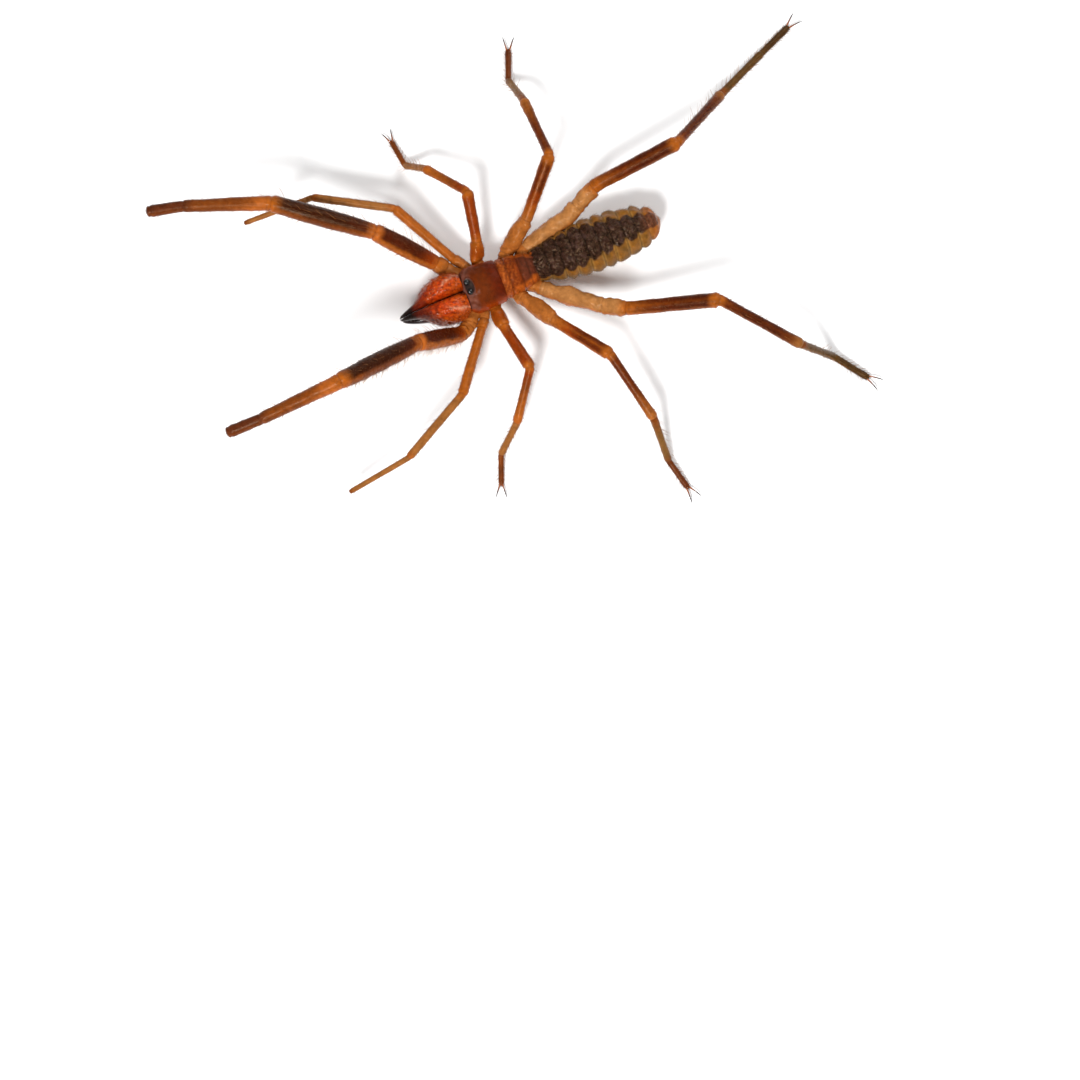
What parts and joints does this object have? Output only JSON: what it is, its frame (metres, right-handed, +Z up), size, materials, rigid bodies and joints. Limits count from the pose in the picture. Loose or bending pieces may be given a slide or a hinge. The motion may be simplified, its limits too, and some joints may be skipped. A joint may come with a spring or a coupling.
{
  "type": "camel spider",
  "caption": "Life-size still camel spider, standing on its walking legs with raised jaws, pedipalps reaching forward, bristly limbs and a long segmented abdomen.",
  "frame": {"origin": "on the floor under the middle of the animal's bounding box", "axes": "head towards -X, back up along +Z, the animal's right side towards +Y"},
  "size_m": [0.1384, 0.1034, 0.035],
  "materials": {
    "shield_cuticle": "brown-red, smooth, finely haired",
    "thorax_cuticle": "orange-brown plates with paler rims",
    "abdomen_skin": "purple-brown warty bands over olive-amber flanks",
    "jaw_cuticle": "red-orange, glossy and bristly",
    "finger_horn": "red-black, hard and polished",
    "eye_gloss": "black, polished",
    "limb_pale_cuticle": "pale orange flesh tone, glossy",
    "femur_cuticle": "dark red-brown with orange edges, glossy",
    "tibia_cuticle": "very dark brown, glossy",
    "metatarsus_cuticle": "orange-tan, glossy",
    "tarsus_cuticle": "dark reddish brown"
  },
  "bodies": {
    "root": {"abdomen": "abdomen_skin", "chelicera_finger_left": "finger_horn", "chelicera_finger_right": "finger_horn", "chelicera_left": "jaw_cuticle", "chelicera_right": "jaw_cuticle", "eye_left": "eye_gloss", "eye_right": "eye_gloss", "head_shield": "shield_cuticle", "leg_1_base_left": "limb_pale_cuticle", "leg_1_base_right": "limb_pale_cuticle", "leg_1_femur_left": "femur_cuticle", "leg_1_femur_right": "femur_cuticle", "leg_1_tarsus_left": "metatarsus_cuticle", "leg_1_tarsus_right": "metatarsus_cuticle", "leg_1_tibia_left": "tibia_cuticle", "leg_1_tibia_right": "tibia_cuticle", "leg_2_base_left": "limb_pale_cuticle", "leg_2_base_right": "limb_pale_cuticle", "leg_2_femur_left": "femur_cuticle", "leg_2_femur_right": "femur_cuticle", "leg_2_metatarsus_left": "metatarsus_cuticle", "leg_2_metatarsus_right": "metatarsus_cuticle", "leg_2_tarsus_left": "tarsus_cuticle", "leg_2_tarsus_right": "tarsus_cuticle", "leg_2_tibia_left": "tibia_cuticle", "leg_2_tibia_right": "tibia_cuticle", "leg_3_base_left": "limb_pale_cuticle", "leg_3_base_right": "limb_pale_cuticle", "leg_3_femur_left": "femur_cuticle", "leg_3_femur_right": "femur_cuticle", "leg_3_metatarsus_left": "metatarsus_cuticle", "leg_3_metatarsus_right": "metatarsus_cuticle", "leg_3_tarsus_left": "tarsus_cuticle", "leg_3_tarsus_right": "tarsus_cuticle", "leg_3_tibia_left": "tibia_cuticle", "leg_3_tibia_right": "tibia_cuticle", "leg_4_base_left": "limb_pale_cuticle", "leg_4_base_right": "limb_pale_cuticle", "leg_4_basifemur_left": "femur_cuticle", "leg_4_basifemur_right": "femur_cuticle", "leg_4_femur_left": "femur_cuticle", "leg_4_femur_right": "femur_cuticle", "leg_4_metatarsus_left": "metatarsus_cuticle", "leg_4_metatarsus_right": "metatarsus_cuticle", "leg_4_tarsus_left": "tarsus_cuticle", "leg_4_tarsus_right": "tarsus_cuticle", "leg_4_tibia_left": "tibia_cuticle", "leg_4_tibia_right": "tibia_cuticle", "pedipalp_base_left": "limb_pale_cuticle", "pedipalp_base_right": "limb_pale_cuticle", "pedipalp_femur_left": "femur_cuticle", "pedipalp_femur_right": "femur_cuticle", "pedipalp_metatarsus_left": "metatarsus_cuticle", "pedipalp_metatarsus_right": "metatarsus_cuticle", "pedipalp_tarsus_left": "tarsus_cuticle", "pedipalp_tarsus_right": "tarsus_cuticle", "pedipalp_tibia_left": "tibia_cuticle", "pedipalp_tibia_right": "tibia_cuticle", "thorax": "thorax_cuticle"}
  },
  "joints": []
}
